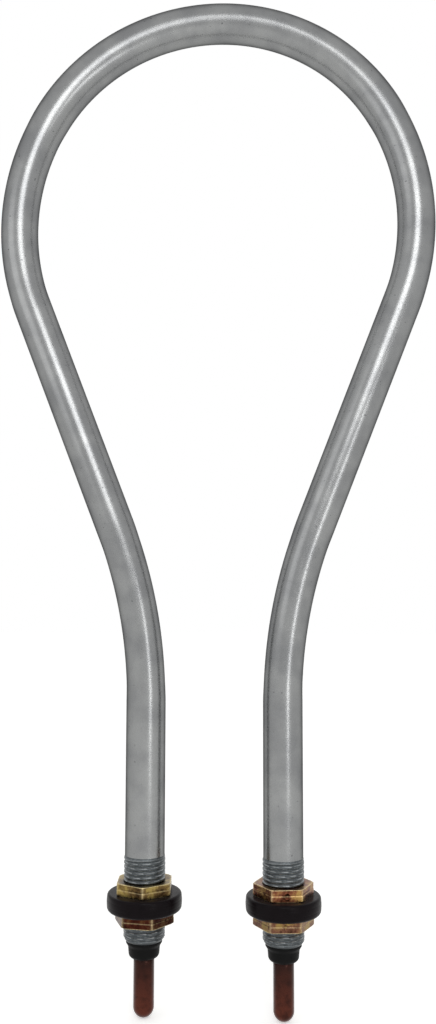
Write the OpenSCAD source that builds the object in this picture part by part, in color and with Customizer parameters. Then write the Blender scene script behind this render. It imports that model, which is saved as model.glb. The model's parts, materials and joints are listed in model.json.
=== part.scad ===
// Tubular water heater element: a bent metal tube packed with magnesia round a resistance coil.
// Its two parallel legs pass through a tank wall, and each is clamped there by two nuts and a gasket.
// The origin lies midway between the legs, on the face of the gaskets that seals against the wall.
// +Z runs up the legs into the tank, and the loop lies in the XZ plane.

/* [Loop] */
// Distance between the axes of the two straight legs
leg_spacing = 47; // [44:0.5:60]
// Height above the sealing face at which the legs begin to bend outward
leg_straight = 69; // [64:1:90]
// Radius of the outward bend of each leg, to the tube's centreline
leg_bend_r = 167; // [150:1:190]
// Angle between the slanted flank of the loop and the legs, in degrees
splay = 21.3; // [19:0.1:24]
// Radius of the shoulder on each side of the crown, to the centreline
shoulder_r = 81; // [78:0.5:86]
// Radius of the crown at the top of the loop, to the centreline
crown_r = 69.5; // [67:0.5:76]
// Half of the angle that the crown covers, in degrees
crown_half_angle = 59.3; // [52:0.1:68]

/* [Tube and thread] */
// Outside diameter of the bent tube
tube_d = 13.5; // [13.1:0.1:13.9]
// Wall of the tube
tube_wall = 1.2; // [0.8:0.1:1.3]
// How much thinner the wall is in the bends than elsewhere, on each of its faces
bend_thinning = 0.1; // [0.08:0.01:0.15]
// Length by which the full wall of the crown and the flanks runs on into each thinner bend
bend_lap = 0.5; // [0.3:0.1:1]
// Outside diameter of the thread that is rolled on each end
thread_d = 14; // [14:0.1:14.4]
// Diameter at which the thread meets its nuts, halfway down the flanks
thread_pitch_d = 13.03; // [12.9:0.01:13.1]
// Length of free thread above the upper nut
thread_above = 8.5; // [6:0.5:14]
// Length of the slope in which the thread runs out into the plain tube
thread_runout = 0.8; // [0.4:0.1:1.5]
// Length of free thread below the lower nut, down to the chamfer
thread_below = 4.7; // [3:0.1:10]
// Height of the chamfer on the mouth of the tube
mouth_chamfer_h = 1.1; // [0.6:0.1:1.6]
// Width of the chamfer on the mouth of the tube
mouth_chamfer_w = 0.85; // [0.4:0.05:0.9]

/* [Nuts] */
// Width of a nut across its flats
nut_af = 18; // [17:0.5:21]
// Height of a nut
nut_h = 4; // [3:0.5:6]
// How far the chamfer takes in the corners of a nut, measured along the radius
nut_chamfer_w = 0.55; // [0.2:0.05:0.9]
// Slope of the corner chamfer, in degrees from the face of the nut
nut_chamfer_angle = 30; // [15:1:45]
// Width of the small punched dimple in one flat of each right nut
dimple_d = 1.6; // [1:0.1:2.4]
// Depth of the punched dimple
dimple_depth = 0.45; // [0.2:0.05:0.8]
// Turn of the left upper nut about its leg, in degrees
left_upper_turn = -26; // [-30:0.5:30]
// Turn of the left lower nut about its leg, in degrees
left_lower_turn = -7.5; // [-30:0.5:30]
// Turn of the right upper nut about its leg, in degrees
right_upper_turn = 8; // [-30:0.5:30]
// Turn of the right lower nut about its leg, in degrees
right_lower_turn = 4.5; // [-30:0.5:30]

/* [Gaskets] */
// Outside diameter of a gasket at the middle of its height
gasket_d = 25.5; // [23:0.5:32]
// Height of a gasket
gasket_h = 5.8; // [4:0.1:8]
// Radius on the upper rim of a gasket
gasket_top_round = 0.9; // [0.4:0.1:1.4]
// Radius on the lower rim of a gasket
gasket_base_round = 1.3; // [0.4:0.1:1.6]
// How far the squeezed side of a gasket stands out at mid-height
gasket_bulge = 0.3; // [0.1:0.05:0.6]

/* [Insulating bushes] */
// Diameter of the collar that covers the mouth of the tube
collar_d = 12.2; // [11.8:0.1:12.3]
// Height of the collar's straight rim
collar_h = 0.8; // [0.4:0.1:1.5]
// Height of the slope from the collar in to the body
collar_slope_h = 1.1; // [0.6:0.1:2]
// Diameter of the body just under the collar
body_top_d = 10.8; // [10:0.1:11.2]
// Diameter of the body where its lower edge begins to round
body_base_d = 10.4; // [9.6:0.1:10.8]
// Height of the body between the collar and the rounded edge
body_h = 2.3; // [1:0.1:6]
// Radius of the rounded lower edge
body_round = 1.6; // [0.8:0.1:1.6]
// Length of the spigot that goes up into the tube
bush_spigot_h = 6; // [3:0.5:12]

/* [Terminal pins] */
// Diameter of the contact part of a pin
pin_d = 7; // [5.4:0.1:7]
// Length of the contact part below the bush, with its domed tip
pin_reach = 19.5; // [12:0.5:30]
// Diameter of the shank inside the tube
shank_d = 5; // [4.4:0.1:5.2]
// Height above the sealing face at which the shank ends and the coil begins
cold_top = 46; // [30:1:54]
// Length of the thin end of the pin, over which the coil is pushed
pin_nose_l = 8; // [4:0.5:9]

/* [Resistance coil] */
// Diameter of the resistance wire
wire_d = 0.9; // [0.6:0.05:1.1]
// Inside diameter of the wound coil
coil_id = 4; // [3.4:0.1:4.2]
// Number of turns between the two pins
coil_turns = 120; // [80:1:140]

/* [Seals] */
// Height of the resin seal above each bush
seal_h = 8; // [4:0.5:16]

/* [Clearances] */
// Gap between a nut or gasket and the flanks of the thread, on the radius
thread_fit = 0.04; // [0.02:0.01:0.08]
// Gap between the spigot of a bush and the tube, on the radius
bush_fit = 0.1; // [0.05:0.01:0.2]
// Gap between the shank of a pin and what surrounds it, on the radius
pin_fit = 0.04; // [0.02:0.01:0.1]
// Gap between the packed filling and the tube, on the radius
fill_fit = 0.03; // [0.01:0.01:0.08]
// Gap between the coil and what lies inside and outside it, on the radius
coil_fit = 0.05; // [0.03:0.01:0.1]

/* [Hidden] */
$fn = 96;

// Facets of the resistance wire: rings in each turn of the coil, and sides of the wire
rings_per_turn = 8;
wire_sides = 4;

LEFT = -1;
RIGHT = 1;
leg_x = leg_spacing / 2;
tube_r = tube_d / 2;
bore_r = tube_r - tube_wall;
thread_r = thread_d / 2;
flank_r = thread_pitch_d / 2;

// Levels on each leg, from the tip of the pin upward
upper_nut_top = gasket_h + nut_h;
thread_top = upper_nut_top + thread_above;
lower_nut_base = -nut_h;
chamfer_top = lower_nut_base - thread_below;
mouth_z = chamfer_top - mouth_chamfer_h;
bush_base = mouth_z - collar_h - collar_slope_h - body_h - body_round;
spigot_top = mouth_z + bush_spigot_h;
seal_top = spigot_top + seal_h;
coil_bottom = cold_top + coil_fit;
nose_top = cold_top + pin_nose_l;

// Where each bend of the right half ends. The left half is its mirror image.
bend_end = [leg_x + leg_bend_r * (1 - cos(splay)), leg_straight + leg_bend_r * sin(splay)];
radius_step = crown_r - shoulder_r;
slant_top_x = radius_step * sin(crown_half_angle) + shoulder_r * cos(splay);
slant_l = (slant_top_x - bend_end.x) / sin(splay);
slant_top = [slant_top_x, bend_end.y + slant_l * cos(splay)];
shoulder_centre = slant_top - shoulder_r * [cos(splay), -sin(splay)];
crown_centre = shoulder_centre - radius_step * [sin(crown_half_angle), cos(crown_half_angle)];
shoulder_angle = 90 - crown_half_angle + splay;

// Distances along the centreline from the middle of the crown to the end of each stretch
ARC = PI / 180;
crown_end_s = crown_r * crown_half_angle * ARC;
shoulder_end_s = crown_end_s + shoulder_r * shoulder_angle * ARC;
slant_end_s = shoulder_end_s + slant_l;
bend_end_s = slant_end_s + leg_bend_r * splay * ARC;
coil_half_l = bend_end_s + leg_straight - coil_bottom;

// Unit vector at an angle from straight up, turning outward
function outward(angle) = [sin(angle), cos(angle)];

// Point of the right half's centreline at a distance s from the middle of the crown, as [x, z]
function half_point(s) =
    s < crown_end_s ? crown_centre + crown_r * outward(s / crown_r / ARC)
    : s < shoulder_end_s
        ? shoulder_centre + shoulder_r * outward(crown_half_angle + (s - crown_end_s) / shoulder_r / ARC)
    : s < slant_end_s
        ? slant_top - (s - shoulder_end_s) * [sin(splay), cos(splay)]
    : s < bend_end_s
        ? let (left = (bend_end_s - s) / leg_bend_r / ARC)
            [leg_x + leg_bend_r * (1 - cos(left)), leg_straight + leg_bend_r * sin(left)]
    : [leg_x, leg_straight - (s - bend_end_s)];

// Direction at that point that looks out of the loop, as an angle from straight up
function half_angle(s) =
    s < crown_end_s ? s / crown_r / ARC
    : s < shoulder_end_s ? crown_half_angle + (s - crown_end_s) / shoulder_r / ARC
    : s < slant_end_s ? 90 + splay
    : s < bend_end_s ? 90 + (bend_end_s - s) / leg_bend_r / ARC
    : 90;

// The same for the whole loop: s is negative on the left half
function route_point(s) = let (p = half_point(abs(s))) [sign(s) * p.x, 0, p.y];
function route_outward(s) = let (n = outward(half_angle(abs(s)))) [sign(s) * n.x, 0, n.y];

// Flat ring, or a disc where the inner radius is 0
module ring(outer, inner) {
    difference() {
        circle(outer);
        if (inner > 0) circle(inner);
    }
}

// Straight pipe up the Z axis
module pipe(outer, inner, length) {
    linear_extrude(length) ring(outer, inner);
}

// Bent pipe about a centre in the XZ plane. The angles are measured from +X towards +Z.
module bent_pipe(outer, inner, centre, bend_r, from_angle, to_angle) {
    translate([centre.x, 0, centre.y])
        rotate([90, 0, 0])
            rotate_extrude(angle = to_angle - from_angle, start = from_angle)
                translate([bend_r, 0])
                    ring(outer, inner);
}

// Pipe along the whole route, with both of its legs cut off at one height
module route_pipe(outer, inner, bottom) {
    crown_reach = crown_half_angle + bend_lap / crown_r / ARC;
    bend_outer = outer - bend_thinning;
    bend_inner = inner > 0 ? inner + bend_thinning : 0;
    bent_pipe(outer, inner, crown_centre, crown_r, 90 - crown_reach, 90 + crown_reach);
    for (side = [LEFT, RIGHT])
        mirror([side == LEFT ? 1 : 0, 0, 0]) {
            bent_pipe(bend_outer, bend_inner, shoulder_centre, shoulder_r,
                -splay, 90 - crown_half_angle);
            translate([bend_end.x, 0, bend_end.y])
                rotate([0, splay, 0])
                    translate([0, 0, -bend_lap])
                        pipe(outer, inner, slant_l + 2 * bend_lap);
            bent_pipe(bend_outer, bend_inner, [leg_x + leg_bend_r, leg_straight], leg_bend_r,
                180 - splay, 180);
            translate([leg_x, 0, bottom])
                pipe(outer, inner, leg_straight + bend_lap - bottom);
        }
}

module on_leg(side) {
    translate([side * leg_x, 0, 0]) children();
}

// End of the tube: the free thread stands at its full diameter, and where the nuts and the gasket
// sit on it the wall is drawn at the middle of the flanks, so that each thread has half.
module threaded_end() {
    rotate_extrude()
        polygon([
            [bore_r, mouth_z],
            [thread_r - mouth_chamfer_w, mouth_z],
            [thread_r, chamfer_top],
            [thread_r, lower_nut_base],
            [flank_r, lower_nut_base],
            [flank_r, upper_nut_top],
            [thread_r, upper_nut_top],
            [thread_r, thread_top - thread_runout],
            [tube_r, thread_top],
            [bore_r, thread_top]
        ]);
}

module sheath() {
    color("silver") {
        route_pipe(tube_r, bore_r, thread_top);
        for (side = [LEFT, RIGHT]) on_leg(side) threaded_end();
    }
}

// Hexagon with its corners taken in by a shallow cone on both faces
module nut_blank() {
    corner_r = nut_af / 2 / cos(30);
    face_r = corner_r - nut_chamfer_w;
    drop = nut_chamfer_w * tan(nut_chamfer_angle);
    intersection() {
        cylinder(h = nut_h, r = corner_r, $fn = 6);
        rotate_extrude()
            polygon([[0, 0], [face_r, 0], [corner_r, drop], [corner_r, nut_h - drop],
                [face_r, nut_h], [0, nut_h]]);
    }
}

// Cone that the centre punch leaves in the flat that faces -Y before the nut is turned
module punched_dimple() {
    rim = 0.2;
    slope = dimple_d / 2 / dimple_depth;
    translate([0, -nut_af / 2 - rim, nut_h / 2])
        rotate([-90, 0, 0])
            cylinder(h = dimple_depth + rim, r1 = dimple_d / 2 + rim * slope, r2 = 0, $fn = 48);
}

// A nut on its leg. At no turn, two of its corners lie along X and a flat faces -Y.
module nut(side, base, turn, dimpled) {
    bore = flank_r + thread_fit;
    on_leg(side)
        translate([0, 0, base])
            rotate(turn)
                difference() {
                    nut_blank();
                    translate([0, 0, -1]) cylinder(h = nut_h + 2, r = bore);
                    if (dimpled) punched_dimple();
                }
}

// Rubber ring with rounded rims, whose side stands out a little where the nuts squeeze it
module gasket(side) {
    bore = flank_r + thread_fit;
    outer = gasket_d / 2;
    side_arc_r = (pow(gasket_h / 2, 2) + pow(gasket_bulge, 2)) / 2 / gasket_bulge;
    rim_r = outer - gasket_bulge;
    color([0.10, 0.07, 0.08])
        on_leg(side)
            rotate_extrude()
                difference() {
                    intersection() {
                        union() {
                            translate([0, gasket_base_round])
                                square([outer, gasket_h - gasket_base_round - gasket_top_round]);
                            square([rim_r - gasket_base_round, gasket_h]);
                            square([rim_r - gasket_top_round, gasket_h]);
                            translate([rim_r - gasket_base_round, gasket_base_round])
                                circle(gasket_base_round);
                            translate([rim_r - gasket_top_round, gasket_h - gasket_top_round])
                                circle(gasket_top_round);
                        }
                        translate([outer - side_arc_r, gasket_h / 2]) circle(side_arc_r);
                    }
                    translate([0, -1]) square([bore, gasket_h + 2]);
                }
}

// Cutter that rounds the lower outer corner of an outline, whose round has its centre at the origin
module lower_corner(radius) {
    margin = 1;
    difference() {
        translate([0, -radius - margin]) square(radius + margin);
        circle(radius);
    }
}

// Bush that closes the mouth of the tube: spigot inside, collar against the mouth, rounded body below
module end_bush(side) {
    bore = shank_d / 2 + pin_fit;
    neck_z = mouth_z - collar_h - collar_slope_h;
    round_z = neck_z - body_h;
    base_r = body_base_d / 2;
    color([0.05, 0.05, 0.05])
        on_leg(side)
            rotate_extrude()
                difference() {
                    polygon([
                        [bore, spigot_top],
                        [bore_r - bush_fit, spigot_top],
                        [bore_r - bush_fit, mouth_z],
                        [collar_d / 2, mouth_z],
                        [collar_d / 2, mouth_z - collar_h],
                        [body_top_d / 2, neck_z],
                        [base_r, round_z],
                        [base_r, bush_base],
                        [bore, bush_base]
                    ]);
                    translate([base_r - body_round, round_z]) lower_corner(body_round);
                }
}

// Plug of cured resin that fills the tube between the bush and the filling
module end_seal(side) {
    color([0.72, 0.70, 0.64])
        on_leg(side)
            translate([0, 0, spigot_top])
                pipe(bore_r - fill_fit, shank_d / 2 + pin_fit, seal_h);
}

// Turned pin: the domed contact below the bush, its shoulder, the shank and the nose in the coil
module terminal_pin(side) {
    contact_r = pin_d / 2;
    nose_r = coil_id / 2 - coil_fit;
    dome_z = bush_base - pin_reach + contact_r;
    color([0.36, 0.16, 0.12])
        on_leg(side)
            rotate_extrude() {
                polygon([
                    [0, dome_z],
                    [contact_r, dome_z],
                    [contact_r, bush_base],
                    [shank_d / 2, bush_base],
                    [shank_d / 2, cold_top],
                    [nose_r, cold_top],
                    [nose_r, nose_top],
                    [0, nose_top]
                ]);
                translate([0, dome_z])
                    intersection() {
                        circle(contact_r);
                        translate([0, -contact_r]) square(contact_r);
                    }
            }
}

// Packed filling between the coil and the wall of the tube. Below the coil it closes round the pin.
module magnesia_fill() {
    jacket_r = bore_r - fill_fit;
    color([0.90, 0.89, 0.86]) {
        route_pipe(jacket_r, coil_id / 2 + wire_d + coil_fit, cold_top);
        for (side = [LEFT, RIGHT])
            on_leg(side)
                translate([0, 0, seal_top])
                    pipe(jacket_r, shank_d / 2 + pin_fit, cold_top - seal_top);
    }
}

// The filling inside the coil, from the end of one pin to the other. In the real one it is one mass
// with the rest, joined between the turns; here the ring that the coil winds through is left free.
module magnesia_core() {
    color([0.90, 0.89, 0.86]) route_pipe(coil_id / 2 - coil_fit, 0, nose_top);
}

// Point on the centreline of the wire, which winds round the route at an even pitch. The rings
// stand a little wide, so that the straight wire between two of them is as much too narrow.
function wire_point(s) =
    let (
        turn = 180 * coil_turns * (s + coil_half_l) / coil_half_l,
        winding_r = (coil_id + wire_d) / (1 + cos(180 / rings_per_turn)),
        out = route_outward(s)
    )
    route_point(s) + winding_r * (cos(turn) * out + sin(turn) * [0, 1, 0]);

// Resistance wire wound into a helix that follows the bends: rings square to the wire, swept in a loop
module resistance_coil() {
    reach = coil_half_l - wire_d / 2;
    rings = coil_turns * rings_per_turn;
    step = 2 * reach / rings;
    points = [
        for (i = [0 : rings])
            let (
                s = -reach + i * step,
                p = wire_point(s),
                ahead = wire_point(s + step / 8) - wire_point(s - step / 8),
                along = ahead / norm(ahead),
                spoke = p - route_point(s),
                up = spoke / norm(spoke),
                across = cross(along, up)
            )
            for (k = [0 : wire_sides - 1])
                let (a = 360 * (k + 0.5) / wire_sides)
                p + wire_d / 2 * (cos(a) * up + sin(a) * across)
    ];
    side_faces = [
        for (i = [0 : rings - 1])
            for (k = [0 : wire_sides - 1])
                let (a = i * wire_sides + k, b = i * wire_sides + (k + 1) % wire_sides)
                each [[a, b, b + wire_sides], [a, b + wire_sides, a + wire_sides]]
    ];
    last = rings * wire_sides;
    start_cap = [for (k = [wire_sides - 1 : -1 : 0]) k];
    end_cap = [for (k = [0 : wire_sides - 1]) last + k];
    color([0.45, 0.44, 0.42])
        polyhedron(points, concat([start_cap], side_faces, [end_cap]), convexity = 10);
}

sheath();
magnesia_fill();
magnesia_core();
resistance_coil();
terminal_pin(LEFT);  // left_terminal_pin
terminal_pin(RIGHT);  // right_terminal_pin
end_bush(LEFT);  // left_end_bush
end_bush(RIGHT);  // right_end_bush
end_seal(LEFT);  // left_end_seal
end_seal(RIGHT);  // right_end_seal
color([0.52, 0.44, 0.26]) nut(LEFT, gasket_h, left_upper_turn, false);  // left_upper_nut
color([0.50, 0.36, 0.22]) nut(RIGHT, gasket_h, right_upper_turn, true);  // right_upper_nut
color([0.38, 0.18, 0.10]) nut(LEFT, lower_nut_base, left_lower_turn, false);  // left_lower_nut
color([0.46, 0.33, 0.22]) nut(RIGHT, lower_nut_base, right_lower_turn, true);  // right_lower_nut
gasket(LEFT);  // left_gasket
gasket(RIGHT);  // right_gasket
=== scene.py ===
"""Looks of a tubular water heater element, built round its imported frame.

The bent tube with its rolled threads, the nuts, gaskets, bushes, pins and the resistance coil are
numpy surfaces that stand for the frame's solids. The filling and the seals keep their own meshes.
Sizes are written in millimetres and turned to metres where a mesh is made.
"""

from __future__ import annotations

import json
import logging
import math
from dataclasses import dataclass
from enum import Enum

import bpy
import numpy as np
from mathutils import Matrix, Vector


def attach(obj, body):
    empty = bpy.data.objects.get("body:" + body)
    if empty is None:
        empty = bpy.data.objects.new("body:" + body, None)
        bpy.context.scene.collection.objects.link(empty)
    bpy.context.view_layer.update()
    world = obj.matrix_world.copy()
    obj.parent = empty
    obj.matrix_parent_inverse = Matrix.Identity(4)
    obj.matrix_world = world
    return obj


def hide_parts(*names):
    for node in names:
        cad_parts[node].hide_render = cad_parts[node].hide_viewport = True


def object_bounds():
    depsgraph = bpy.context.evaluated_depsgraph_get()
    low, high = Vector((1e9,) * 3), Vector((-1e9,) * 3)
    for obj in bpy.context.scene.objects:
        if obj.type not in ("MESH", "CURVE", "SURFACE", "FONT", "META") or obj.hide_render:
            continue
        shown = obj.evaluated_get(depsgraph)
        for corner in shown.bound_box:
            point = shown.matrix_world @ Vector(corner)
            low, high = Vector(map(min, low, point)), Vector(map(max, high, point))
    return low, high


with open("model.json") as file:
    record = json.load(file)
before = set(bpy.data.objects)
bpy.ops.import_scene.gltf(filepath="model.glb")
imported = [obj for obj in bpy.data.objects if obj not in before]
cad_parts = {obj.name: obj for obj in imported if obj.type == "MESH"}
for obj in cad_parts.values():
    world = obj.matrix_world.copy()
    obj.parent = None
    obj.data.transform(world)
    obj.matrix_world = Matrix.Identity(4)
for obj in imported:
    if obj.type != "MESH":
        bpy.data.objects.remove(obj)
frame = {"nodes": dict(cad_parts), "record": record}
CAD_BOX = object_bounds()

MM = 0.001
TURN = 2 * math.pi
LOG = logging.getLogger("water_heater_element")


class Side(Enum):
    """The two legs of the loop, with the sign of their X."""

    LEFT = -1
    RIGHT = 1

    @property
    def word(self) -> str:
        """The side's name as the frame's nodes write it."""
        return self.name.lower()


def linear(hex_code: str) -> tuple[float, float, float, float]:
    """Turns an sRGB hex colour into a linear one.

    Args:
        hex_code: The colour, such as "#A0A0A0".

    Returns:
        Linear red, green, blue and an alpha of 1.
    """
    values = [int(hex_code[i : i + 2], 16) / 255 for i in (1, 3, 5)]
    red, green, blue = [v / 12.92 if v <= 0.04045 else ((v + 0.055) / 1.055) ** 2.4 for v in values]
    return red, green, blue, 1.0


def cells(size_mm: float) -> float:
    """Scale of a pattern on coordinates in metres whose features are this many millimetres across."""
    return 1 / (size_mm * MM)


def smooth_step(low: float, high: float, values: np.ndarray) -> np.ndarray:
    """Rises from 0 at low to 1 at high along the cubic 3t^2 - 2t^3."""
    t = np.clip((values - low) / (high - low), 0.0, 1.0)
    return t * t * (3 - 2 * t)


class Finish:
    """A material's node tree round one Principled shader."""

    def __init__(self, name: str) -> None:
        """Makes the material with its shader and Object coordinates.

        Args:
            name: The real material and its process.
        """
        self.material = bpy.data.materials.new(name)
        self.material.use_nodes = True
        self.tree = self.material.node_tree
        self.shader = self.tree.nodes["Principled BSDF"]
        self.place = self.add("ShaderNodeTexCoord").outputs["Object"]

    def add(self, kind: str, links: dict | None = None, **settings: object) -> bpy.types.Node:
        """Adds one node with its settings and links.

        Args:
            kind: Blender's name of the node's type.
            links: Input name or number to a plain value or to the output that feeds it.
            settings: The node's own properties. A list of stops fills a colour ramp.

        Returns:
            The new node.
        """
        node = self.tree.nodes.new(kind)
        for key, value in settings.items():
            if key != "stops":
                setattr(node, key, value)
                continue
            ramp = node.color_ramp.elements
            while len(ramp) < len(value):
                ramp.new(0.5)
            for element, (position, colour) in zip(ramp, value):
                element.position = position
                element.color = colour
        self.feed(node, links or {})
        return node

    def feed(self, node: bpy.types.Node, links: dict) -> None:
        """Sets or links a node's inputs.

        Args:
            node: The node.
            links: Input name or number to a plain value or to the output that feeds it.
        """
        for key, value in links.items():
            if isinstance(value, bpy.types.NodeSocket):
                self.tree.links.new(value, node.inputs[key])
            else:
                node.inputs[key].default_value = value


def grid_piece(
    name: str,
    points_mm: np.ndarray,
    finish: bpy.types.Material,
    node: str,
    attributes: dict[str, np.ndarray] | None = None,
) -> bpy.types.Object:
    """Makes a closed piece from a grid of points whose rows and columns both wrap round.

    Quad (i, j) joins points (i, j), (i+1, j), (i+1, j+1) and (i, j+1), counted round the grid.
    A positive enclosed volume means that the faces already point outwards, else they are turned.

    Args:
        name: The piece's name.
        points_mm: Points, as rows by columns by 3, in millimetres.
        finish: The material.
        node: The frame's node that the piece stands for.
        attributes: Name to one value per point, or to a vector per point.

    Returns:
        The new object, riding on the frame's one body.
    """
    rows, columns = points_mm.shape[:2]
    i, j = np.meshgrid(np.arange(rows), np.arange(columns), indexing="ij")
    below, beside = (i + 1) % rows, (j + 1) % columns
    corners = (i * columns + j, below * columns + j, below * columns + beside, i * columns + beside)
    quads = np.stack(corners, axis=-1).reshape(-1, 4)
    flat = points_mm.reshape(-1, 3) * MM
    a, b, c, d = (flat[quads[:, k]] for k in range(4))
    if np.einsum("ij,ij->i", a + b + c + d, np.cross(c - a, d - b)).sum() < 0:
        quads = quads[:, ::-1]
    mesh = bpy.data.meshes.new(name)
    mesh.vertices.add(len(flat))
    mesh.loops.add(quads.size)
    mesh.polygons.add(len(quads))
    mesh.vertices.foreach_set("co", flat.astype(np.float32).ravel())
    mesh.loops.foreach_set("vertex_index", quads.astype(np.int32).ravel())
    mesh.polygons.foreach_set("loop_start", np.arange(len(quads), dtype=np.int32) * 4)
    mesh.polygons.foreach_set("use_smooth", np.ones(len(quads), bool))
    for key, values in (attributes or {}).items():
        vector = values.ndim == 3
        layer = mesh.attributes.new(key, "FLOAT_VECTOR" if vector else "FLOAT", "POINT")
        layer.data.foreach_set("vector" if vector else "value", values.astype(np.float32).ravel())
    mesh.update(calc_edges=True)
    mesh.validate()
    mesh.materials.append(finish)
    piece = bpy.data.objects.new(name, mesh)
    bpy.context.scene.collection.objects.link(piece)
    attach(piece, "root")
    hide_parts(node)
    LOG.info("%s: %d faces, stands for %s", name, len(quads), node)
    return piece


def lathe(profile_mm: np.ndarray, axis_x: float, sides: int) -> np.ndarray:
    """Turns a closed profile about a vertical axis.

    Point (i, j) is (axis_x + r_i cos a_j, r_i sin a_j, z_i), with a_j going once round.

    Args:
        profile_mm: Radius and height of each point of the closed profile.
        axis_x: X of the axis.
        sides: Points in each ring.

    Returns:
        The grid of points, rows along the profile and columns round the axis.
    """
    angle = np.arange(sides) * TURN / sides
    radius = profile_mm[:, 0][:, None]
    height = np.broadcast_to(profile_mm[:, 1][:, None], (len(profile_mm), sides))
    return np.stack([axis_x + radius * np.cos(angle), radius * np.sin(angle), height], axis=-1)


def arc(centre: tuple[float, float], radius: float, start: float, end: float, steps: int) -> np.ndarray:
    """Points of an arc in a profile, at centre + radius (cos a, sin a).

    Args:
        centre: Radius and height of the arc's centre.
        radius: The arc's radius.
        start: First angle in degrees, 0 looking outwards and 90 up.
        end: Last angle in degrees.
        steps: Points less one.

    Returns:
        Radius and height of each point.
    """
    a = np.radians(np.linspace(start, end, steps + 1))
    return np.stack([centre[0] + radius * np.cos(a), centre[1] + radius * np.sin(a)], axis=-1)


def dense(corners: list[tuple[float, float]], step: float) -> np.ndarray:
    """Splits the straight lines between corners into pieces no longer than a step.

    Args:
        corners: Radius and height of each corner, in order.
        step: Longest piece.

    Returns:
        Radius and height of each point, with the last corner.
    """
    out = []
    for start, end in zip(corners[:-1], corners[1:]):
        count = max(1, math.ceil(math.dist(start, end) / step))
        t = np.arange(count)[:, None] / count
        out.append(np.array(start) * (1 - t) + np.array(end) * t)
    out.append(np.array([corners[-1]]))
    return np.concatenate(out)


@dataclass(frozen=True)
class DrawnStainless:
    """Stainless steel tube, cold drawn, bent and pickled: a soft grainy shine with fine long scratches."""

    steel: str = "#8C8D8D"
    shade: str = "#7E7F80"
    pit: str = "#4A4B4D"
    # A grey edge tint that holds back the shine at grazing angles: painted shade at the tube's sides, standing for
    # darker surroundings.
    edge: str = "#8A8A8A"
    roughness: float = 0.27
    grain_mm: float = 0.30
    scratch_mm: float = 0.18
    scratch_length_mm: float = 14.0
    cloud_mm: float = 9.0
    pit_mm: float = 1.1

    def material(self) -> bpy.types.Material:
        """The tube's finish. The patterns follow the straightened tube, so none has a seam."""
        f = Finish("stainless_steel_cold_drawn")
        straight = f.add("ShaderNodeAttribute", attribute_name="straightened").outputs["Vector"]
        ratio = self.scratch_mm / self.scratch_length_mm
        drawn = f.add("ShaderNodeMapping", {"Vector": straight, "Scale": (1.0, 1.0, ratio)})
        grain = f.add("ShaderNodeTexNoise", {"Vector": straight, "Scale": cells(self.grain_mm), "Detail": 3.0})
        lines = f.add(
            "ShaderNodeTexNoise",
            {"Vector": drawn.outputs[0], "Scale": cells(self.scratch_mm), "Detail": 2.0},
        )
        cloud = f.add("ShaderNodeTexNoise", {"Vector": straight, "Scale": cells(self.cloud_mm), "Detail": 4.0})
        pits = f.add("ShaderNodeTexNoise", {"Vector": straight, "Scale": cells(self.pit_mm), "Detail": 2.0})
        pitted = f.add(
            "ShaderNodeMapRange",
            {"Value": pits.outputs["Fac"], "From Min": 0.70, "From Max": 0.78, "To Max": 0.8},
        )
        tone = f.add(
            "ShaderNodeValToRGB",
            {"Fac": cloud.outputs["Fac"]},
            stops=[(0.35, linear(self.shade)), (0.62, linear(self.steel))],
        )
        colour = f.add(
            "ShaderNodeMix",
            {0: pitted.outputs[0], 6: tone.outputs[0], 7: linear(self.pit)},
            data_type="RGBA",
        )
        rough = f.add(
            "ShaderNodeMapRange",
            {
                "Value": grain.outputs["Fac"],
                "From Min": 0.3,
                "From Max": 0.7,
                "To Min": self.roughness - 0.07,
                "To Max": self.roughness + 0.08,
            },
        )
        relief = f.add(
            "ShaderNodeMath",
            {0: lines.outputs["Fac"], 1: 0.5, 2: grain.outputs["Fac"]},
            operation="MULTIPLY_ADD",
        )
        bump = f.add("ShaderNodeBump", {"Height": relief.outputs[0], "Strength": 0.35, "Distance": 0.02 * MM})
        f.feed(
            f.shader,
            {
                "Metallic": 1.0,
                "Base Color": colour.outputs[2],
                # The grey edge tint paints shade into the grazing reflections.
                "Specular Tint": linear(self.edge),
                "Roughness": rough.outputs[0],
                "Normal": bump.outputs[0],
            },
        )
        return f.material


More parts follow.
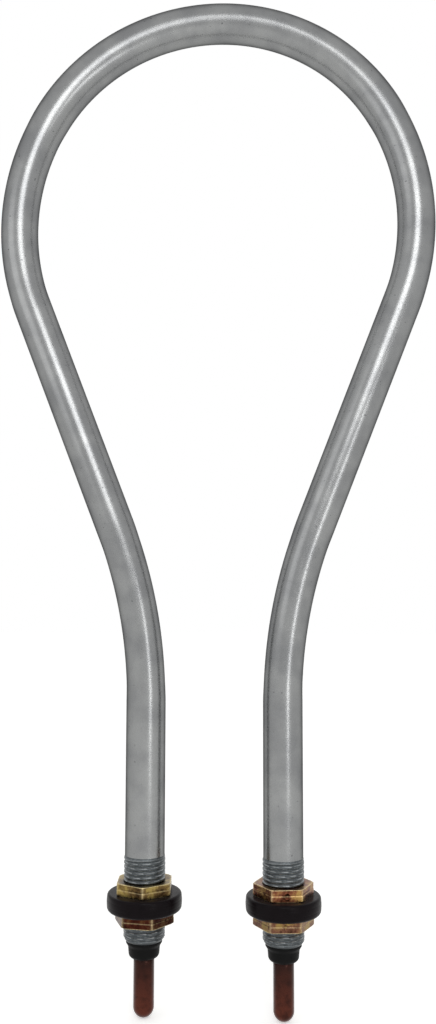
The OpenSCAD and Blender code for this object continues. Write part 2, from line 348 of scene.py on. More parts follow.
@dataclass(frozen=True)
class RolledThread:
    """Rolled thread on the tube's end, worn: zinc-grey and rough, with a painted highlight on the crests and painted
    shade in the roots.
    """

    # Crest, flank and root tones: a painted highlight on the crests and painted shade down in the roots.
    crest: str = "#C0C3C4"
    flank: str = "#767A7C"
    root: str = "#4A4E50"
    roughness: float = 0.42
    scuff_mm: float = 0.7
    grit_mm: float = 0.25

    def material(self) -> bpy.types.Material:
        """The thread's finish. The crest attribute is 0 in the root and 1 on the crest, and it paints the roots dark
        and the crests bright as shade and highlight.
        """
        f = Finish("stainless_steel_rolled_thread")
        crest = f.add("ShaderNodeAttribute", attribute_name="crest").outputs["Fac"]
        scuff = f.add("ShaderNodeTexNoise", {"Vector": f.place, "Scale": cells(self.scuff_mm), "Detail": 4.0})
        grit = f.add("ShaderNodeTexNoise", {"Vector": f.place, "Scale": cells(self.grit_mm), "Detail": 2.0})
        worn = f.add(
            "ShaderNodeMath",
            {0: scuff.outputs["Fac"], 1: 0.9, 2: crest},
            operation="MULTIPLY_ADD",
        )
        # The ramp paints shade into the roots and a highlight onto the crests, and the scuff noise adds the real worn
        # tone.
        colour = f.add(
            "ShaderNodeValToRGB",
            {"Fac": f.add("ShaderNodeMath", {0: worn.outputs[0], 1: 0.52}, operation="MULTIPLY").outputs[0]},
            stops=[(0.22, linear(self.root)), (0.5, linear(self.flank)), (0.86, linear(self.crest))],
        )
        bump = f.add("ShaderNodeBump", {"Height": grit.outputs["Fac"], "Strength": 0.5, "Distance": 0.05 * MM})
        rough = f.add(
            "ShaderNodeMapRange",
            {
                "Value": scuff.outputs["Fac"],
                "From Min": 0.3,
                "From Max": 0.7,
                "To Min": self.roughness - 0.12,
                "To Max": self.roughness + 0.12,
            },
        )
        f.feed(
            f.shader,
            {
                "Metallic": 1.0,
                "Base Color": colour.outputs[0],
                "Roughness": rough.outputs[0],
                "Normal": bump.outputs[0],
            },
        )
        return f.material


@dataclass(frozen=True)
class YellowChromate:
    """Zinc plate under a yellow chromate film: a mottled metal whose tint drifts from gold to brown."""

    name: str
    gold: str
    copper: str
    dark: str
    roughness: float = 0.30
    drift_mm: float = 4.5
    mottle_mm: float = 0.8
    # Pale gold painted into the film on the rounded edges, the corners and under the blanking line: a painted
    # highlight.
    edge_wear: str = "#E8D6A6"

    def material(self) -> bpy.types.Material:
        """One nut's finish. The edge attribute is 1 along its rounded edges, where a pale highlight is painted into the
        film.
        """
        f = Finish(self.name)
        edge = f.add("ShaderNodeAttribute", attribute_name="edge").outputs["Fac"]
        drift = f.add("ShaderNodeTexNoise", {"Vector": f.place, "Scale": cells(self.drift_mm), "Detail": 2.0})
        mottle = f.add("ShaderNodeTexNoise", {"Vector": f.place, "Scale": cells(self.mottle_mm), "Detail": 5.0})
        mixed = f.add(
            "ShaderNodeMath",
            {0: mottle.outputs["Fac"], 1: 0.45, 2: drift.outputs["Fac"]},
            operation="MULTIPLY_ADD",
        )
        film = f.add(
            "ShaderNodeValToRGB",
            {"Fac": mixed.outputs[0]},
            stops=[(0.52, linear(self.dark)), (0.70, linear(self.copper)), (0.86, linear(self.gold))],
        )
        # Where the edge attribute is high, a pale painted highlight, broken up by the mottle, takes the film's place.
        worn = f.add(
            "ShaderNodeMath",
            {0: edge, 1: mottle.outputs["Fac"]},
            operation="MULTIPLY",
        )
        colour = f.add(
            "ShaderNodeMix",
            {0: worn.outputs[0], 6: film.outputs[0], 7: linear(self.edge_wear)},
            data_type="RGBA",
        )
        rough = f.add(
            "ShaderNodeMapRange",
            {
                "Value": mottle.outputs["Fac"],
                "From Min": 0.3,
                "From Max": 0.7,
                "To Min": self.roughness - 0.08,
                "To Max": self.roughness + 0.12,
            },
        )
        bump = f.add("ShaderNodeBump", {"Height": mottle.outputs["Fac"], "Strength": 0.35, "Distance": 0.04 * MM})
        f.feed(
            f.shader,
            {
                "Metallic": 1.0,
                "Base Color": colour.outputs[2],
                "Roughness": rough.outputs[0],
                "Normal": bump.outputs[0],
            },
        )
        return f.material


@dataclass(frozen=True)
class PlainBody:
    """A finish of one substance whose tone and gloss drift: rubber, moulded plastic, resin or powder."""

    name: str
    light: str
    dark: str
    roughness: float
    metallic: float = 0.0
    drift_mm: float = 3.0
    grit_mm: float = 0.4
    relief_mm: float = 0.03
    # A lighter tone painted on faces that look up: painted light from above.
    top: str | None = None
    specular: float = 0.5

    def material(self) -> bpy.types.Material:
        """The finish. Where top is set, faces that look up are painted in that lighter tone, a painted highlight as if
        lit from above.
        """
        f = Finish(self.name)
        drift = f.add("ShaderNodeTexNoise", {"Vector": f.place, "Scale": cells(self.drift_mm), "Detail": 4.0})
        grit = f.add("ShaderNodeTexNoise", {"Vector": f.place, "Scale": cells(self.grit_mm), "Detail": 3.0})
        tone = f.add(
            "ShaderNodeValToRGB",
            {"Fac": drift.outputs["Fac"]},
            stops=[(0.35, linear(self.dark)), (0.68, linear(self.light))],
        )
        colour = tone.outputs[0]
        rough_low = self.roughness
        if self.top:
            # Faces that look up are blended towards the top tone: painted light, not a real change of the rubber.
            normal = f.add("ShaderNodeNewGeometry").outputs["Normal"]
            up = f.add("ShaderNodeSeparateXYZ", {0: normal}).outputs["Z"]
            dusty = f.add("ShaderNodeMapRange", {"Value": up, "From Min": 0.7, "From Max": 0.97})
            mixed = f.add(
                "ShaderNodeMix",
                {0: dusty.outputs[0], 6: colour, 7: linear(self.top)},
                data_type="RGBA",
            )
            colour = mixed.outputs[2]
        rough = f.add(
            "ShaderNodeMapRange",
            {
                "Value": grit.outputs["Fac"],
                "From Min": 0.3,
                "From Max": 0.7,
                "To Min": rough_low - 0.06,
                "To Max": rough_low + 0.10,
            },
        )
        bump = f.add(
            "ShaderNodeBump",
            {"Height": grit.outputs["Fac"], "Strength": 0.5, "Distance": self.relief_mm * MM},
        )
        f.feed(
            f.shader,
            {
                "Metallic": self.metallic,
                "Base Color": colour,
                "Specular IOR Level": self.specular,
                "Roughness": rough.outputs[0],
                "Normal": bump.outputs[0],
            },
        )
        return f.material


@dataclass(frozen=True)
class DarkenedCopper:
    """Copper plate on a steel pin, darkened by heat: near-black brown at the root, redder to the tip."""

    root: str = "#2A1510"
    tip: str = "#5A2C20"
    stain: str = "#1A0D0A"
    roughness: float = 0.22
    root_z_mm: float = -15.6
    tip_z_mm: float = -35.1
    stain_mm: float = 2.6
    grain_mm: float = 0.35

    def material(self) -> bpy.types.Material:
        """The pins' finish, from the height on the pin and a patchy stain."""
        f = Finish("copper_plate_heat_darkened")
        height = f.add("ShaderNodeSeparateXYZ", {0: f.place}).outputs["Z"]
        down = f.add(
            "ShaderNodeMapRange",
            {"Value": height, "From Min": self.root_z_mm * MM, "From Max": self.tip_z_mm * MM},
        )
        stain = f.add("ShaderNodeTexNoise", {"Vector": f.place, "Scale": cells(self.stain_mm), "Detail": 4.0})
        grain = f.add("ShaderNodeTexNoise", {"Vector": f.place, "Scale": cells(self.grain_mm), "Detail": 2.0})
        base = f.add(
            "ShaderNodeMix",
            {0: down.outputs[0], 6: linear(self.root), 7: linear(self.tip)},
            data_type="RGBA",
        )
        patch = f.add(
            "ShaderNodeMapRange",
            {"Value": stain.outputs["Fac"], "From Min": 0.45, "From Max": 0.7, "To Max": 0.6},
        )
        colour = f.add(
            "ShaderNodeMix",
            {0: patch.outputs[0], 6: base.outputs[2], 7: linear(self.stain)},
            data_type="RGBA",
        )
        rough = f.add(
            "ShaderNodeMapRange",
            {
                "Value": grain.outputs["Fac"],
                "From Min": 0.3,
                "From Max": 0.7,
                "To Min": self.roughness - 0.06,
                "To Max": self.roughness + 0.10,
            },
        )
        bump = f.add("ShaderNodeBump", {"Height": grain.outputs["Fac"], "Strength": 0.3, "Distance": 0.02 * MM})
        f.feed(
            f.shader,
            {
                "Metallic": 0.85,
                "Base Color": colour.outputs[2],
                "Roughness": rough.outputs[0],
                "Normal": bump.outputs[0],
            },
        )
        return f.material


@dataclass(frozen=True)
class LoopRoute:
    """Centreline of the loop: crown, shoulders, slanted flanks, leg bends and straight legs."""

    leg_x: float = 23.5
    leg_straight: float = 69.0
    leg_bend_r: float = 167.0
    splay: float = math.radians(21.3)
    shoulder_r: float = 81.0
    crown_r: float = 69.5
    crown_half: float = math.radians(59.3)

    @property
    def bend_end(self) -> np.ndarray:
        """X and Z where a leg's bend meets the slanted flank."""
        x = self.leg_x + self.leg_bend_r * (1 - math.cos(self.splay))
        return np.array([x, self.leg_straight + self.leg_bend_r * math.sin(self.splay)])

    @property
    def slant_top(self) -> np.ndarray:
        """X and Z where the slanted flank meets the shoulder."""
        step = self.crown_r - self.shoulder_r
        x = step * math.sin(self.crown_half) + self.shoulder_r * math.cos(self.splay)
        rise = (x - self.bend_end[0]) / math.tan(self.splay)
        return np.array([x, self.bend_end[1] + rise])

    @property
    def ends(self) -> tuple[float, float, float, float]:
        """Distances from the middle of the crown to the end of each stretch of one half."""
        crown = self.crown_r * self.crown_half
        shoulder = crown + self.shoulder_r * (math.pi / 2 - self.crown_half + self.splay)
        slant = shoulder + float(np.linalg.norm(self.slant_top - self.bend_end))
        return crown, shoulder, slant, slant + self.leg_bend_r * self.splay

    def at(self, distance: np.ndarray) -> tuple[np.ndarray, np.ndarray]:
        """Centre and outward direction along the loop.

        Each stretch is an arc, centre + radius (sin a, cos a) with a growing with distance, or a
        straight line. Negative distances lie on the left half, which is the mirror image.

        Args:
            distance: Distances from the middle of the crown.

        Returns:
            Points and unit vectors that look out of the loop, as arrays of X, Y and Z.
        """
        s = np.abs(distance)
        crown, shoulder, slant, bend = self.ends
        tilt = np.array([math.cos(self.splay), -math.sin(self.splay)])
        shoulder_centre = self.slant_top - self.shoulder_r * tilt
        step = self.crown_r - self.shoulder_r
        crown_centre = shoulder_centre - step * np.array([math.sin(self.crown_half), math.cos(self.crown_half)])
        on_crown = s / self.crown_r
        on_shoulder = self.crown_half + (s - crown) / self.shoulder_r
        left = np.clip((bend - s) / self.leg_bend_r, 0, self.splay)
        stretch = [s < crown, s < shoulder, s < slant, s < bend]
        angle = np.select(stretch, [on_crown, on_shoulder, math.pi / 2 + self.splay, math.pi / 2 + left], math.pi / 2)
        x = np.select(
            stretch,
            [
                crown_centre[0] + self.crown_r * np.sin(on_crown),
                shoulder_centre[0] + self.shoulder_r * np.sin(on_shoulder),
                self.slant_top[0] - (s - shoulder) * math.sin(self.splay),
                self.leg_x + self.leg_bend_r * (1 - np.cos(left)),
            ],
            self.leg_x,
        )
        z = np.select(
            stretch,
            [
                crown_centre[1] + self.crown_r * np.cos(on_crown),
                shoulder_centre[1] + self.shoulder_r * np.cos(on_shoulder),
                self.slant_top[1] - (s - shoulder) * math.cos(self.splay),
                self.leg_straight + self.leg_bend_r * np.sin(left),
            ],
            self.leg_straight - (s - bend),
        )
        sign = np.where(distance < 0, -1.0, 1.0)
        zero = np.zeros_like(x)
        centre = np.stack([sign * x, zero, z], axis=-1)
        outward = np.stack([sign * np.sin(angle), zero, np.cos(angle)], axis=-1)
        return centre, outward

    def distance_at(self, height: float) -> float:
        """Distance from the middle of the crown to a height on a straight leg."""
        return self.ends[3] + self.leg_straight - height


@dataclass(frozen=True)
class BentTube:
    """The heater's tube: one bent wall with a rolled thread on each end."""

    route: LoopRoute
    radius: float = 6.75
    bore: float = 5.55
    thread_r: float = 7.0
    held_r: float = 6.5
    pitch: float = 1.5
    thread_depth: float = 0.48
    crest_share: float = 0.34
    thread_top: float = 18.3
    runout: float = 2.2
    held_top: float = 9.8
    held_base: float = -4.0
    chamfer_top: float = -8.7
    chamfer_w: float = 0.85
    mouth: float = -9.8
    bore_depth: float = 30.0
    sides: int = 112
    thread_step: float = 0.14
    held_step: float = 0.9
    tube_step: float = 2.0
    bend_thinning: float = 0.13
    thinning_run: float = 8.0

    def build(self, steel: bpy.types.Material, thread: bpy.types.Material) -> bpy.types.Object:
        """Sweeps the wall along the route and cuts the thread into it.

        Ring i stands at distance s_i with its centre on the route. Its point j lies at
        centre + r (cos a outward + sin a Y), where r is the tube's radius with the thread's relief.
        The rings go along the outside, over the mouth and back through the bore.

        Args:
            steel: Finish of the plain tube.
            thread: Finish of the threaded ends.

        Returns:
            The tube.
        """
        heights = np.concatenate(
            [
                np.arange(self.mouth, self.held_base, self.thread_step),
                np.arange(self.held_base, self.held_top, self.held_step),
                np.arange(self.held_top, self.thread_top + self.thread_step, self.thread_step),
            ]
        )
        plain_top = self.route.distance_at(heights[-1] + self.thread_step)
        half = np.linspace(0, plain_top, math.ceil(plain_top / self.tube_step))
        right = np.concatenate([half, self.route.distance_at(0.0) - heights[::-1]])
        outer_s = np.concatenate([-right[:0:-1], right])
        inner_end = self.route.distance_at(self.mouth)
        inner_s = np.linspace(inner_end, -inner_end, 260)
        s = np.concatenate([outer_s, inner_s])
        outside = np.arange(len(s)) < len(outer_s)
        centre, outward = self.route.at(s)
        angle = np.arange(self.sides) * TURN / self.sides
        spoke = np.cos(angle)[None, :, None] * outward[:, None, :]
        spoke = spoke + np.sin(angle)[None, :, None] * np.array([0.0, 1.0, 0.0])
        height = np.where(np.abs(s) > self.route.ends[3], centre[:, 2], 1000.0)
        radius, crest = self.relief(height[:, None], np.arctan2(spoke[..., 1], spoke[..., 0]))
        radius = np.where(outside[:, None], radius - self.thinned(np.abs(s))[:, None], self.bore)
        points = centre[:, None, :] + radius[..., None] * spoke
        straight = np.stack(
            [
                np.broadcast_to(np.cos(angle), radius.shape) * self.radius * MM,
                np.broadcast_to(np.sin(angle), radius.shape) * self.radius * MM,
                np.broadcast_to(s[:, None], radius.shape) * MM,
            ],
            axis=-1,
        )
        piece = grid_piece(
            "bent_tube", points, steel, "sheath", {"crest": crest, "straightened": straight}
        )
        piece.data.materials.append(thread)
        threaded = np.where(outside, height < self.thread_top, False)
        faces = np.repeat(threaded & np.roll(threaded, -1), self.sides)
        piece.data.polygons.foreach_set("material_index", faces.astype(np.int32))
        return piece

    def thinned(self, distance: np.ndarray) -> np.ndarray:
        """How far a bend's face lies under the straight tube's, fading in over a short run."""
        crown, shoulder, slant, bend = self.route.ends
        depth = np.zeros_like(distance)
        for start, end in ((crown, shoulder), (slant, bend)):
            rise = smooth_step(start, start + self.thinning_run, distance)
            depth += self.bend_thinning * rise * (1 - smooth_step(end - self.thinning_run, end, distance))
        return depth

    def relief(self, height: np.ndarray, angle: np.ndarray) -> tuple[np.ndarray, np.ndarray]:
        """Radius of the outside, and how near to the crest it is.

        The ridge climbs one pitch a turn: its phase is height / pitch - angle / turn. A cosine of
        the phase, pushed up and clipped, gives a flat crest and a rounded root. The depth fades out
        over the run-out, and the crest drops to the flanks' middle where a nut or gasket holds it.

        Args:
            height: Height of each ring, or a large value off the legs.
            angle: Angle of each point about its leg.

        Returns:
            Radius in millimetres and crest height from 0 to 1.
        """
        phase = height / self.pitch - angle / TURN
        wave = np.cos(TURN * phase)
        crest = smooth_step(-0.75, 1 - 2 * self.crest_share, wave)
        fade = 1 - smooth_step(self.thread_top - self.runout, self.thread_top, height)
        free = smooth_step(self.held_top - 0.05, self.held_top + 0.05, height)
        free = free + 1 - smooth_step(self.held_base - 0.05, self.held_base + 0.05, height)
        full = self.radius + (self.thread_r - self.radius) * (1 - smooth_step(17.2, self.thread_top, height))
        outer = self.held_r + (full - self.held_r) * np.clip(free, 0, 1)
        chamfer = np.clip((self.chamfer_top - height) / (self.chamfer_top - self.mouth), 0, 1)
        ridge = outer - self.thread_depth * fade * (1 - crest)
        cut = self.thread_r - self.chamfer_w * chamfer
        return np.minimum(ridge, cut), crest * fade * (ridge < cut)


@dataclass(frozen=True)
class HexNut:
    """Thin hexagon nut: chamfered corners, rounded edges, the blanking line round its sides."""

    side: Side
    level: str
    base: float
    turn: float
    dimpled: bool
    across_flats: float = 18.0
    height: float = 4.0
    bore_r: float = 6.555
    sink_r: float = 7.15
    chamfer_w: float = 0.55
    chamfer_angle: float = math.radians(30)
    edge_r: float = 0.16
    corner_round: float = 0.10
    line_h: float = 0.22
    line_depth: float = 0.09
    line_share: float = 0.54
    # The next two set how strongly a highlight is painted just under the blanking line and on the corners.
    line_wear: float = 0.4
    corner_wear: float = 0.55
    dimple_r: float = 0.85
    dimple_depth: float = 0.45
    leg_x: float = 23.5

    def outline(self, angle: np.ndarray) -> np.ndarray:
        """Radius of the hexagon at an angle, af/2 / cos, with its corners taken off a little."""
        sector = angle % (math.pi / 3) - math.pi / 6
        corner = self.across_flats / 2 / math.cos(math.pi / 6)
        sharp = self.across_flats / 2 / np.cos(sector)
        room = corner - self.corner_round - sharp
        return sharp - self.corner_round * np.exp(-np.maximum(room + self.corner_round, 0) / self.corner_round)

    def build(self, finish: bpy.types.Material) -> bpy.types.Object:
        """Carries the nut's section round its bore.

        Column j stands at angle a_j, closer together at the corners and over the dimple. Its rows
        go up the bore, out over the top face, round the edge, down the chamfer and the side, and
        back under, with radii worked out from the hexagon's radius at that angle.

        Args:
            finish: The nut's film.

        Returns:
            The nut.
        """
        sector = math.pi / 6 * np.sin(np.linspace(-math.pi / 2, math.pi / 2, 25)[:-1])
        angle = np.concatenate([k * math.pi / 3 + math.pi / 6 + sector for k in range(6)])
        if self.dimpled:
            reach = 1.6 * self.dimple_r / (self.across_flats / 2)
            angle = np.concatenate([angle, 1.5 * math.pi + np.linspace(-reach, reach, 31)])
        angle = np.unique(np.round(angle % TURN, 5))
        side_r = self.outline(angle)
        face_r = self.across_flats / 2 / math.cos(math.pi / 6) - self.chamfer_w
        top_r = np.minimum(side_r, face_r)
        drop = np.maximum(side_r - face_r, 0) * math.tan(self.chamfer_angle)
        bend = np.radians(np.linspace(90, 0, 5))
        rows = [(np.full_like(angle, self.bore_r), np.full_like(angle, h)) for h in (-1.4, 0.0, 1.4)]
        sink_h = self.height / 2 - (self.sink_r - self.bore_r)
        rows.append((np.full_like(angle, self.bore_r), np.full_like(angle, sink_h)))
        rows.append((np.full_like(angle, self.sink_r), np.full_like(angle, self.height / 2)))
        edge = [np.zeros_like(angle)] * 5
        for share in (0.3, 0.6, 0.9, 0.97):
            radius = self.sink_r + (top_r - self.edge_r - self.sink_r) * share
            rows.append((radius, np.full_like(angle, self.height / 2)))
            edge.append(np.full_like(angle, smooth_step(0.85, 1.0, np.array(share))))
        for a in bend:
            r = top_r - self.edge_r * (1 - math.cos(a))
            rows.append((r, np.full_like(angle, self.height / 2 - self.edge_r * (1 - math.sin(a)))))
            edge.append(np.ones_like(angle))
        start = self.height / 2 - self.edge_r
        side_top = np.minimum(start - 0.02, self.height / 2 - drop - self.edge_r * 0.2)
        rows.append((side_r, side_top))
        edge.append(np.full_like(angle, 0.6))
        levels = np.linspace(1, -1, 41)[1:-1]
        line_z = (self.line_share - 0.5) * 2 * (self.height / 2)
        # The edge values paint a highlight on the rounded top edges, on the corners and in a band just under the
        # blanking line.
        corner_edge = self.corner_wear * np.exp(-(side_r.max() - side_r) / self.corner_round)
        for level in levels:
            z = side_top * level
            scar = np.exp(-(((z - line_z) / self.line_h) ** 2))
            above = smooth_step(-0.3, 0.3, z - line_z)
            r = side_r - self.line_depth * scar - 0.06 * above
            rows.append((r - self.dimple(angle, z), z))
            edge.append(np.clip(corner_edge + self.line_wear * np.exp(-(((z - line_z + 0.25) / 0.15) ** 2)), 0, 1))
        upper = rows[3:]
        lower_rows = [(r, -z) for r, z in reversed(upper[: 3 + 4 + 5])]
        lower_edges = list(reversed(edge[3 : 3 + 3 + 4 + 5]))
        rows = rows + lower_rows[:-1]
        edge = edge + lower_edges[:-1]
        radius = np.stack([r for r, _ in rows])
        height = np.stack([np.broadcast_to(z, angle.shape) for _, z in rows])
        wear = np.stack([np.broadcast_to(e, angle.shape) for e in edge[: len(rows)]])
        turned = angle + math.radians(self.turn)
        points = np.stack(
            [
                self.side.value * self.leg_x + radius * np.cos(turned),
                radius * np.sin(turned),
                self.base + self.height / 2 + height,
            ],
            axis=-1,
        )
        node = f"{self.side.word}_{self.level}_nut"
        return grid_piece(f"{node}_plated", points, finish, node, {"edge": wear})

    def dimple(self, angle: np.ndarray, z: np.ndarray) -> np.ndarray:
        """Depth of the punched cone at each point: depth (1 - d / r) with d along the flat."""
        if not self.dimpled:
            return np.zeros_like(angle)
        across = self.across_flats / 2 * np.tan(np.clip(angle - 1.5 * math.pi, -0.5, 0.5))
        d = np.hypot(across, z)
        lip = 0.08 * np.exp(-(((d - self.dimple_r * 1.15) / 0.2) ** 2))
        return self.dimple_depth * np.clip(1 - d / self.dimple_r, 0, 1) - lip * (np.abs(angle - 1.5 * math.pi) < 0.4)


@dataclass(frozen=True)
class RubberGasket:
    """Thick rubber ring, squeezed between its nuts so that its side stands out."""

    side: Side
    outer_r: float = 12.745
    bore_r: float = 6.555
    height: float = 5.8
    top_round: float = 0.9
    base_round: float = 1.3
    bulge: float = 0.3
    seam_h: float = 0.12
    leg_x: float = 23.5
    sides: int = 128

    def build(self, rubber: bpy.types.Material) -> bpy.types.Object:
        """Turns the ring's section, whose side bows out as a parabola, 1 - (2z/h - 1)^2.

        Args:
            rubber: The finish.

        Returns:
            The gasket.
        """
        rim = self.outer_r - self.bulge
        side_z = np.linspace(self.base_round, self.height - self.top_round, 33)
        bow = 1 - (2 * side_z / self.height - 1) ** 2
        mould = 0.05 * np.exp(-(((side_z - self.height * 0.36) / self.seam_h) ** 2))
        mould = mould + 0.05 * np.exp(-(((side_z - self.height * 0.70) / self.seam_h) ** 2))
        low = 1 - (2 * self.base_round / self.height - 1) ** 2
        side = np.stack([rim + self.bulge * bow - mould, side_z], axis=-1)
        base_rim = rim + self.bulge * low - self.base_round
        high = 1 - (2 * (self.height - self.top_round) / self.height - 1) ** 2
        top_rim = rim + self.bulge * high - self.top_round
        profile = np.concatenate(
            [
                dense([(self.bore_r, self.height), (self.bore_r, 0.0), (base_rim, 0.0)], 1.0)[:-1],
                arc((base_rim, self.base_round), self.base_round, -90, 0, 8)[:-1],
                side,
                arc((top_rim, self.height - self.top_round), self.top_round, 0, 90, 8)[1:],
                dense([(top_rim, self.height), (self.bore_r, self.height)], 1.0)[1:-1],
            ]
        )
        points = lathe(profile, self.side.value * self.leg_x, self.sides)
        name = f"{self.side.word}_gasket"
        return grid_piece(f"{name}_rubber", points, rubber, name)


@dataclass(frozen=True)
class EndBush:
    """Black insulating bush: a collar on the tube's mouth, a tapering body with a soft lower edge."""

    side: Side
    bore_r: float = 2.54
    spigot_r: float = 5.45
    spigot_top: float = -3.8
    mouth: float = -9.8
    collar_r: float = 6.1
    collar_h: float = 0.8
    slope_h: float = 1.1
    body_top_r: float = 5.4
    body_base_r: float = 5.2
    body_h: float = 2.3
    body_round: float = 1.6
    edge_r: float = 0.25
    leg_x: float = 23.5
    sides: int = 96

    def build(self, plastic: bpy.types.Material) -> bpy.types.Object:
        """Turns the bush's section, with its lower edge as a quarter circle.

        Args:
            plastic: The finish.

        Returns:
            The bush.
        """
        neck = self.mouth - self.collar_h - self.slope_h
        round_z = neck - self.body_h
        base = round_z - self.body_round
        profile = np.concatenate(
            [
                dense([(self.bore_r, base), (self.bore_r, self.spigot_top), (self.spigot_r, self.spigot_top)], 2.0)[:-1],
                dense([(self.spigot_r, self.spigot_top), (self.spigot_r, self.mouth)], 2.0)[:-1],
                dense([(self.spigot_r, self.mouth), (self.collar_r - self.edge_r, self.mouth)], 0.4)[:-1],
                arc((self.collar_r - self.edge_r, self.mouth - self.edge_r), self.edge_r, 90, 0, 4)[:-1],
                dense(
                    [
                        (self.collar_r, self.mouth - self.edge_r),
                        (self.collar_r, self.mouth - self.collar_h),
                        (self.body_top_r, neck),
                        (self.body_base_r, round_z),
                    ],
                    0.35,
                )[:-1],
                arc((self.body_base_r - self.body_round, round_z), self.body_round, 0, -90, 10)[:-1],
                dense([(self.body_base_r - self.body_round, base), (self.bore_r, base)], 0.4)[:-1],
            ]
        )
        points = lathe(profile, self.side.value * self.leg_x, self.sides)
        name = f"{self.side.word}_end_bush"
        return grid_piece(f"{name}_moulded", points, plastic, name)


@dataclass(frozen=True)
class TerminalPin:
    """Turned contact pin with a domed tip, its shank up the tube and the nose in the coil."""

    side: Side
    contact_r: float = 3.5
    tip: float = -35.1
    root: float = -15.6
    shank_r: float = 2.5
    cold_top: float = 46.0
    nose_r: float = 1.95
    nose_top: float = 54.0
    core_r: float = 0.02
    leg_x: float = 23.5
    sides: int = 96

    def build(self, copper: bpy.types.Material) -> bpy.types.Object:
        """Turns the pin's section. Its tip is a quarter circle, and a fine core closes both poles.

        Args:
            copper: The finish.

        Returns:
            The pin.
        """
        dome = self.tip + self.contact_r
        end = math.degrees(math.acos(self.core_r / self.contact_r))
        profile = np.concatenate(
            [
                arc((0.0, dome), self.contact_r, -end, 0, 20)[:-1],
                dense(
                    [
                        (self.contact_r, dome),
                        (self.contact_r, self.root - 0.15),
                        (self.contact_r - 0.15, self.root),
                        (self.shank_r, self.root),
                        (self.shank_r, self.cold_top),
                        (self.nose_r, self.cold_top),
                        (self.nose_r, self.nose_top),
                        (self.core_r, self.nose_top),
                    ],
                    1.2,
                ),
            ]
        )
        points = lathe(profile, self.side.value * self.leg_x, self.sides)
        name = f"{self.side.word}_terminal_pin"
        return grid_piece(f"{name}_turned", points, copper, name)


@dataclass(frozen=True)
class ResistanceCoil:
    """Resistance wire wound into one helix that follows the loop from pin to pin."""

    route: LoopRoute
    wire_r: float = 0.45
    winding_r: float = 2.45
    turns: int = 120
    bottom: float = 46.05
    rings_per_turn: int = 20
    sides: int = 8

    def build(self, wire: bpy.types.Material) -> bpy.types.Object:
        """Sweeps a round section along the wire.

        The wire's centre stands at centre + R (cos w outward + sin w Y), with w growing evenly
        along the loop. Each ring is square to the wire, and the ends close to a fine point.

        Args:
            wire: The finish.

        Returns:
            The coil.
        """
        reach = self.route.distance_at(self.bottom)
        s = np.linspace(-reach + self.wire_r, reach - self.wire_r, self.turns * self.rings_per_turn + 1)
        centre, outward = self.route.at(s)
        wind = TURN * self.turns * (s + reach) / (2 * reach)
        spoke = np.cos(wind)[:, None] * outward + np.sin(wind)[:, None] * np.array([0.0, 1.0, 0.0])
        path = centre + self.winding_r * spoke
        along = np.gradient(path, axis=0)
        along /= np.linalg.norm(along, axis=1, keepdims=True)
        across = np.cross(along, spoke)
        across /= np.linalg.norm(across, axis=1, keepdims=True)
        up = np.cross(across, along)
        angle = np.arange(self.sides) * TURN / self.sides
        ring = np.cos(angle)[None, :, None] * up[:, None, :] + np.sin(angle)[None, :, None] * across[:, None, :]
        radius = np.full(len(s), self.wire_r)
        radius[[0, -1]] = 0.01
        points = path[:, None, :] + radius[:, None, None] * ring
        inner = path[::-1, None, :][:: len(s) - 1] + 0.005 * ring[::-1][:: len(s) - 1]
        points = np.concatenate([points, inner])
        return grid_piece("resistance_coil_wound", points, wire, "resistance_coil")


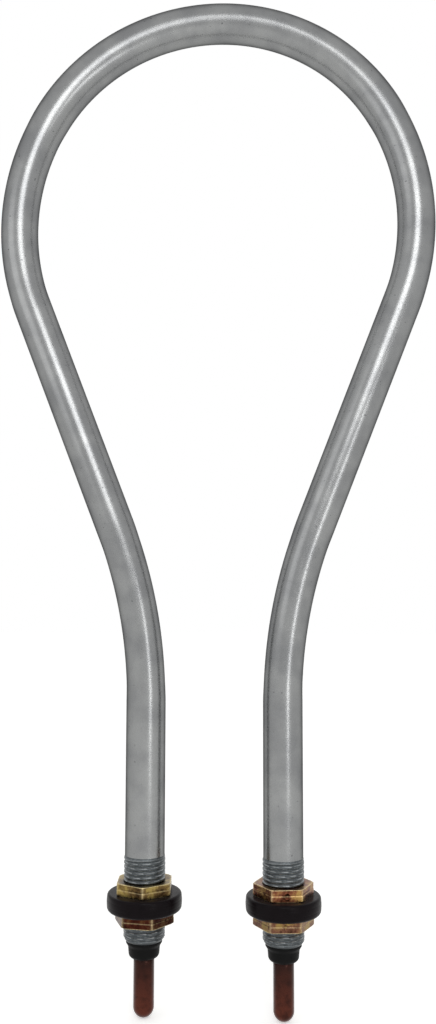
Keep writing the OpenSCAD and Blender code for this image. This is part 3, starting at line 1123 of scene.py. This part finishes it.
@dataclass(frozen=True)
class Studio:
    """Pale floor, white surroundings, soft lamps and the camera at the photograph's place."""

    camera_mm: tuple[float, float, float] = (23.6, -332.1, 106.85)
    look_up: float = math.radians(4.80)
    yaw: float = math.radians(3.86)
    roll: float = math.radians(0.13)
    lens_mm: float = 33.67
    floor_hex: str = "#F4F4F2"
    floor_size: float = 6.0
    surround: float = 0.62
    floor_glow: float = 0.45

    def camera(self) -> None:
        """Makes the camera and sets it."""
        data = bpy.data.cameras.new("photo_camera")
        data.lens = self.lens_mm
        data.sensor_width = 36.0
        data.clip_start = 0.01
        camera = bpy.data.objects.new("photo_camera", data)
        turn = Matrix.Rotation(self.yaw, 4, "Z") @ Matrix.Rotation(math.pi / 2 + self.look_up, 4, "X")
        turn = turn @ Matrix.Rotation(self.roll, 4, "Z")
        camera.matrix_world = Matrix.Translation(Vector(self.camera_mm) * MM) @ turn
        bpy.context.scene.collection.objects.link(camera)
        bpy.context.scene.camera = camera

    def seen_directly(self, tree: bpy.types.NodeTree) -> bpy.types.NodeSocket:
        """1 for rays from the camera, from gloss and through glass, and 0 for the rest."""
        path = tree.nodes.new("ShaderNodeLightPath")
        total = path.outputs["Is Camera Ray"]
        for other in ("Is Glossy Ray", "Is Transmission Ray"):
            add = tree.nodes.new("ShaderNodeMath")
            add.operation = "MAXIMUM"
            tree.links.new(total, add.inputs[0])
            tree.links.new(path.outputs[other], add.inputs[1])
            total = add.outputs[0]
        return total

    def world(self) -> None:
        """White surroundings for what is seen, at a plain level for what is lit."""
        world = bpy.data.worlds.new("white_studio")
        world.use_nodes = True
        bpy.context.scene.world = world
        tree = world.node_tree
        background = tree.nodes["Background"]
        background.inputs["Color"].default_value = (1.0, 1.0, 1.0, 1.0)
        level = tree.nodes.new("ShaderNodeMapRange")
        level.inputs["To Min"].default_value = self.surround
        level.inputs["To Max"].default_value = 1.0
        tree.links.new(self.seen_directly(tree), level.inputs["Value"])
        tree.links.new(level.outputs[0], background.inputs["Strength"])

    def floor(self, height: float) -> None:
        """Lays the floor under the object.

        Args:
            height: Height of the floor in metres.
        """
        half = self.floor_size / 2
        mesh = bpy.data.meshes.new("studio_floor")
        corners = [(-half, -half, height), (half, -half, height), (half, half, height), (-half, half, height)]
        mesh.from_pydata(corners, [], [(0, 1, 2, 3)])
        material = bpy.data.materials.new("studio_floor_matt_paint")
        material.use_nodes = True
        tree = material.node_tree
        shader = tree.nodes["Principled BSDF"]
        shader.inputs["Base Color"].default_value = linear(self.floor_hex)
        shader.inputs["Roughness"].default_value = 0.9
        shader.inputs["Emission Color"].default_value = (1.0, 1.0, 1.0, 1.0)
        glow = tree.nodes.new("ShaderNodeMapRange")
        glow.inputs["To Max"].default_value = self.floor_glow
        tree.links.new(self.seen_directly(tree), glow.inputs["Value"])
        tree.links.new(glow.outputs[0], shader.inputs["Emission Strength"])
        mesh.materials.append(material)
        floor = bpy.data.objects.new("studio_floor", mesh)
        bpy.context.scene.collection.objects.link(floor)

    def lamp(self, name: str, place_mm: tuple[float, float, float], size_mm: tuple[float, float], watts: float) -> None:
        """Adds a soft area lamp that looks at the middle of the loop.

        Args:
            name: The lamp's name.
            place_mm: Its place.
            size_mm: Its width and height.
            watts: Its power.
        """
        data = bpy.data.lights.new(name, "AREA")
        data.shape = "RECTANGLE"
        data.size, data.size_y = (v * MM for v in size_mm)
        data.energy = watts
        lamp = bpy.data.objects.new(name, data)
        place = Vector(place_mm) * MM
        aim = Vector((0.0, 0.0, 0.14)) - place
        lamp.matrix_world = Matrix.Translation(place) @ aim.to_track_quat("-Z", "Y").to_matrix().to_4x4()
        bpy.context.scene.collection.objects.link(lamp)

    def build(self) -> None:
        """Makes the whole studio."""
        self.camera()
        self.world()
        self.floor(CAD_BOX[0].z - 0.2 * MM)
        self.lamp("key_softbox", (104.0, -560.0, 400.0), (260.0, 260.0), 0.9)
        self.lamp("leg_strip_softbox", (300.0, -480.0, 60.0), (80.0, 300.0), 0.35)
        self.lamp("fill_softbox", (-500.0, -500.0, 350.0), (400.0, 400.0), 0.4)
        bpy.context.scene.view_settings.view_transform = "Standard"


CHROMATES = {
    "left_upper": YellowChromate("zinc_yellow_chromate_olive_gold", "#94804A", "#655131", "#322315"),
    "right_upper": YellowChromate("zinc_yellow_chromate_copper_gold", "#9A7A48", "#744632", "#3C1F15"),
    "left_lower": YellowChromate("zinc_yellow_chromate_red_brown", "#523822", "#3E1D14", "#240E0A"),
    "right_lower": YellowChromate("zinc_yellow_chromate_pink_brown", "#8C7442", "#6C4A3A", "#3A2319"),
}
NUT_SEATS = {"upper": 5.8, "lower": -4.0}
NUT_TURNS = {"left_upper": -26.0, "left_lower": -7.5, "right_upper": 8.0, "right_lower": 4.5}

HIDDEN_FINISHES = {
    "packed_magnesia": PlainBody("magnesium_oxide_packed_powder", "#EFEDE6", "#DAD6CB", 0.9, grit_mm=0.3),
    "silicone_resin": PlainBody("silicone_resin_cured", "#C9C5B8", "#AFAA9B", 0.4, grit_mm=0.6),
}


def dress_hidden_nodes() -> None:
    """Gives the filling and the seals, which keep their meshes, their own finishes."""
    finishes = {slot: body.material() for slot, body in HIDDEN_FINISHES.items()}
    for entry in frame["record"]["subparts"]:
        finish = finishes.get(entry["material_slot"])
        if finish is None:
            continue
        mesh = frame["nodes"][entry["node"]].data
        mesh.materials.clear()
        mesh.materials.append(finish)
        LOG.info("%s: keeps its mesh", entry["node"])


def main() -> None:
    """Builds the studio and every piece of the heater, in order."""
    logging.basicConfig(level=logging.INFO, format="%(message)s")
    Studio().build()
    route = LoopRoute()
    BentTube(route).build(DrawnStainless().material(), RolledThread().material())
    # The rubber's lighter top tone is a highlight painted on the faces that look up.
    rubber = PlainBody(
        "rubber_black_moulded", "#100A0D", "#0A0507", 0.32, drift_mm=4.0, grit_mm=0.5, top="#1A1618", specular=0.07
    ).material()
    plastic = PlainBody("phenolic_black_moulded", "#0B0B0B", "#060606", 0.5, grit_mm=0.5, specular=0.09).material()
    copper = DarkenedCopper().material()
    for side in Side:
        RubberGasket(side).build(rubber)
        EndBush(side).build(plastic)
        TerminalPin(side).build(copper)
        for level, seat in NUT_SEATS.items():
            key = f"{side.word}_{level}"
            nut = HexNut(side, level, seat, NUT_TURNS[key], dimpled=side is Side.RIGHT)
            nut.build(CHROMATES[key].material())
    wire = PlainBody("nickel_chromium_wire_drawn", "#8A8680", "#6E6A64", 0.35, metallic=1.0, relief_mm=0.01)
    ResistanceCoil(route).build(wire.material())
    dress_hidden_nodes()


if __name__ == "__main__":
    main()
